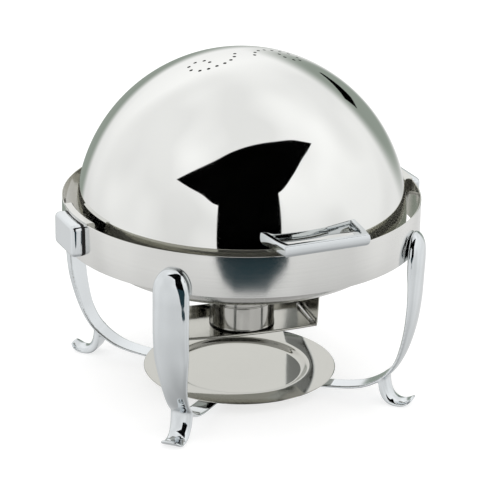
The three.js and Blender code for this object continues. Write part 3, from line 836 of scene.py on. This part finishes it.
def finish_cad_nodes():
    """The small nodes that keep their CAD shape get rounded edges and their slot's metal."""
    slots = {row["node"]: row["material_slot"] for row in frame["record"]["subparts"]}
    for name, node in frame["nodes"].items():
        if node.hide_render:
            continue
        for polygon in node.data.polygons:
            polygon.use_smooth = True
        bevel_edges(node, 35).harden_normals = True
        node.data.materials.clear()
        node.data.materials.append(MATERIALS[slots[name]])


# ---- studio ----
def heading(azimuth, elevation):
    """The direction at an azimuth from the front and an elevation, in degrees."""
    a, e = math.radians(azimuth), math.radians(elevation)
    return Vector((math.sin(a) * math.cos(e), -math.cos(a) * math.cos(e), math.sin(e)))


def card(name, top, bottom):
    """A black sheet of the studio between two rows of azimuths and elevations."""
    sheet(name, [[PIVOT + heading(*corner) * 5 for corner in row] for row in (top, bottom)], (0, 0, 0))


def sheet(name, rows, colour):
    """A sheet of the studio through rows of points, that only reflections see."""
    count = len(rows[0])
    faces = [(i * count + j, i * count + j + 1, (i + 1) * count + j + 1, (i + 1) * count + j)
             for i in range(len(rows) - 1) for j in range(count - 1)]
    mesh = bpy.data.meshes.new(name)
    mesh.from_pydata([tuple(p) for row in rows for p in row], [], faces)
    piece = linked(name, mesh)
    material = bpy.data.materials.new(name)
    material.use_nodes = True
    tree = material.node_tree
    tree.nodes.remove(tree.nodes["Principled BSDF"])
    glow = tree.nodes.new("ShaderNodeEmission")
    glow.inputs["Color"].default_value = (*colour, 1)
    tree.links.new(glow.outputs["Emission"], tree.nodes["Material Output"].inputs["Surface"])
    mesh.materials.append(material)
    piece.visible_camera = False
    piece.visible_shadow = False
    piece.visible_diffuse = False


def make_studio():
    # The dark gap between the two front panels widens above them, under the overhead panel.
    upper = [(-78, 32), (-67, 41.5), (-53, 51), (-38, 59), (-19, 63.5), (2, 64.5), (22, 62.5), (42, 57.5),
             (56, 48)]
    lower = [(-78, 32), (-67, 30.5), (-54, 28), (-41, 23), (-18, 25), (4, 30), (20, 38.5), (36, 45),
             (56, 48)]
    card("gap_arms", spline(upper, 6), spline(lower, 6))
    card("gap_stem", [(-41, 23.5), (-18, 27), (4, 31)], [(-40, -4), (-18, -4), (2, -4)])
    card("gap_back", [(138, 14), (130, 17), (122.5, 19)], [(138.5, 12), (129, 10.5), (121.5, 13.5)])
    rows = []
    for reach, azimuths in (
        (0.53, (-27, -22, -17, -11)),
        (0.65, (-33, -24, -16, -6)),
        (1.0, (-37, -25, -12, 2)),
        (1.6, (-39, -26, -12, 3)),
        (5.0, (-40, -26, -12, 3)),
    ):
        row = [PIVOT + heading(azimuth, 0) * reach for azimuth in azimuths]
        rows.append([Vector((p.x, p.y, 0.002)) for p in row])
    sheet("gap_floor_near", rows[:4], (0.02, 0.042, 0.052))
    sheet("gap_floor_far", rows[3:], (0, 0, 0))

    floor_mesh = bpy.data.meshes.new("studio_floor")
    size = 9.0
    corners = [(-size, -size, 0), (size, -size, 0), (size, size, 0), (-size, size, 0)]
    floor_mesh.from_pydata(corners, [], [(0, 1, 2, 3)])
    floor = linked("studio_floor", floor_mesh)
    n = Nodes("studio_floor")
    n.link(n.mix(n.noise((3, 3, 3)), (0.49, 0.49, 0.49), (0.51, 0.51, 0.51)), n.shader.inputs["Base Color"])
    n.shader.inputs["Roughness"].default_value = 0.8
    n.shader.inputs["Specular IOR Level"].default_value = 0.1
    n.shader.inputs["Emission Color"].default_value = (1, 1, 1, 1)
    n.shader.inputs["Emission Strength"].default_value = 0.64
    floor_mesh.materials.append(n.material)
    floor.visible_glossy = False

    for name, place_at, size, power in (
        ("key", Vector((1.9, -1.6, 2.4)), 2.2, 9),
        ("fill", Vector((-2.3, -1.0, 1.9)), 2.2, 5),
        ("top", Vector((0.0, 0.4, 3.2)), 2.6, 6),
    ):
        light = bpy.data.lights.new(name, "AREA")
        light.shape = "SQUARE"
        light.size = size
        light.energy = power
        lamp = bpy.data.objects.new(name, light)
        lamp.location = place_at
        lamp.rotation_mode = "QUATERNION"
        lamp.rotation_quaternion = (PIVOT - place_at).to_track_quat("-Z", "Y")
        lamp.visible_glossy = False
        bpy.context.scene.collection.objects.link(lamp)


# Brightness of the world from straight down, 0, to straight up, 1.
WORLD_RISE = ((0.0, 0.42), (0.2, 0.74), (0.34, 0.88), (0.52, 0.94), (0.86, 1.06), (1.0, 1.02))
# The grey-green parts of the room behind the object: azimuth, elevation, soft and full radius in degrees.
DARK_ROOM = ((132, 6, 25, 11), (173, -10, 24, 12))
ROOM_COLOUR = (0.31, 0.35, 0.31, 1)


def make_world():
    """White all round, a little darker low down, with two grey-green parts behind the object.

    The camera itself sees plain white. Only reflections and light come from the rest.
    """
    world = bpy.data.worlds.new("studio")
    world.use_nodes = True
    tree = world.node_tree
    back = tree.nodes["Background"]
    coordinates = tree.nodes.new("ShaderNodeTexCoord")
    split = tree.nodes.new("ShaderNodeSeparateXYZ")
    tree.links.new(coordinates.outputs["Generated"], split.inputs["Vector"])
    height = tree.nodes.new("ShaderNodeMapRange")
    height.inputs["From Min"].default_value = -1.0
    tree.links.new(split.outputs["Z"], height.inputs["Value"])
    rise = tree.nodes.new("ShaderNodeValToRGB")
    rise.color_ramp.interpolation = "EASE"
    for i, (level, value) in enumerate(WORLD_RISE):
        stop = rise.color_ramp.elements[i] if i < 2 else rise.color_ramp.elements.new(level)
        stop.position = level
        stop.color = (value, value, value * 0.995, 1)
    tree.links.new(height.outputs["Result"], rise.inputs["Fac"])
    patches = tree.nodes.new("ShaderNodeTexNoise")
    patches.inputs["Scale"].default_value = 1.3
    patches.inputs["Detail"].default_value = 1.0
    tree.links.new(coordinates.outputs["Generated"], patches.inputs["Vector"])
    uneven = tree.nodes.new("ShaderNodeMapRange")
    for key, number in (("From Min", 0.38), ("From Max", 0.62), ("To Min", 0.9), ("To Max", 1.06)):
        uneven.inputs[key].default_value = number
    tree.links.new(patches.outputs["Fac"], uneven.inputs["Value"])
    panels = tree.nodes.new("ShaderNodeMix")
    panels.data_type = "RGBA"
    panels.blend_type = "MULTIPLY"
    panels.inputs["Factor"].default_value = 1.0
    tree.links.new(rise.outputs["Color"], panels.inputs[6])
    tree.links.new(uneven.outputs["Result"], panels.inputs[7])
    light = panels.outputs[2]
    for azimuth, elevation, outer, inner in DARK_ROOM:
        toward = tree.nodes.new("ShaderNodeVectorMath")
        toward.operation = "DOT_PRODUCT"
        toward.inputs[1].default_value = heading(azimuth, elevation)
        tree.links.new(coordinates.outputs["Generated"], toward.inputs[0])
        dark = tree.nodes.new("ShaderNodeMapRange")
        dark.interpolation_type = "SMOOTHSTEP"
        dark.inputs["From Min"].default_value = math.cos(math.radians(outer))
        dark.inputs["From Max"].default_value = math.cos(math.radians(inner))
        tree.links.new(toward.outputs["Value"], dark.inputs["Value"])
        shade = tree.nodes.new("ShaderNodeMix")
        shade.data_type = "RGBA"
        tree.links.new(dark.outputs["Result"], shade.inputs["Factor"])
        tree.links.new(light, shade.inputs[6])
        shade.inputs[7].default_value = ROOM_COLOUR
        light = shade.outputs[2]
    path = tree.nodes.new("ShaderNodeLightPath")
    seen = tree.nodes.new("ShaderNodeMix")
    seen.data_type = "RGBA"
    tree.links.new(path.outputs["Is Camera Ray"], seen.inputs["Factor"])
    tree.links.new(light, seen.inputs[6])
    seen.inputs[7].default_value = (1, 1, 1, 1)
    tree.links.new(seen.outputs[2], back.inputs["Color"])
    back.inputs["Strength"].default_value = 1.0
    bpy.context.scene.world = world


CAMERA_AZIMUTH, CAMERA_ELEVATION, CAMERA_ROLL = -24.23, 20.27, 0.77
CAMERA_DISTANCE = 2.667
CAMERA_LENS = 167.5
AIM_RIGHT, AIM_DOWN = 0.0098, 0.0446


def make_camera():
    azimuth, elevation = math.radians(CAMERA_AZIMUTH), math.radians(CAMERA_ELEVATION)
    roll = math.radians(CAMERA_ROLL)
    back = Vector((math.sin(azimuth) * math.cos(elevation), -math.cos(azimuth) * math.cos(elevation),
                   math.sin(elevation)))
    level = Vector((math.cos(azimuth), math.sin(azimuth), 0))
    up = back.cross(level)
    right = level * math.cos(roll) + up * math.sin(roll)
    up = up * math.cos(roll) - level * math.sin(roll)
    eye = PIVOT + back * CAMERA_DISTANCE
    aim = PIVOT + right * AIM_RIGHT - up * AIM_DOWN
    look = (eye - aim).normalized()
    right = (right - look * right.dot(look)).normalized()
    up = look.cross(right)
    data = bpy.data.cameras.new("camera")
    data.lens = CAMERA_LENS
    data.sensor_width = 36
    camera = bpy.data.objects.new("camera", data)
    camera.matrix_world = Matrix((
        (right.x, up.x, look.x, eye.x),
        (right.y, up.y, look.y, eye.y),
        (right.z, up.z, look.z, eye.z),
        (0, 0, 0, 1),
    ))
    bpy.context.scene.collection.objects.link(camera)
    bpy.context.scene.camera = camera


make_camera()
make_dome()
make_handle()
make_ring()
make_legs()
make_blocks()
make_pans()
make_plate()
make_shelf()
make_burner()
make_screws()
finish_cad_nodes()
make_studio()
make_world()
bpy.context.scene.view_settings.view_transform = "Standard"
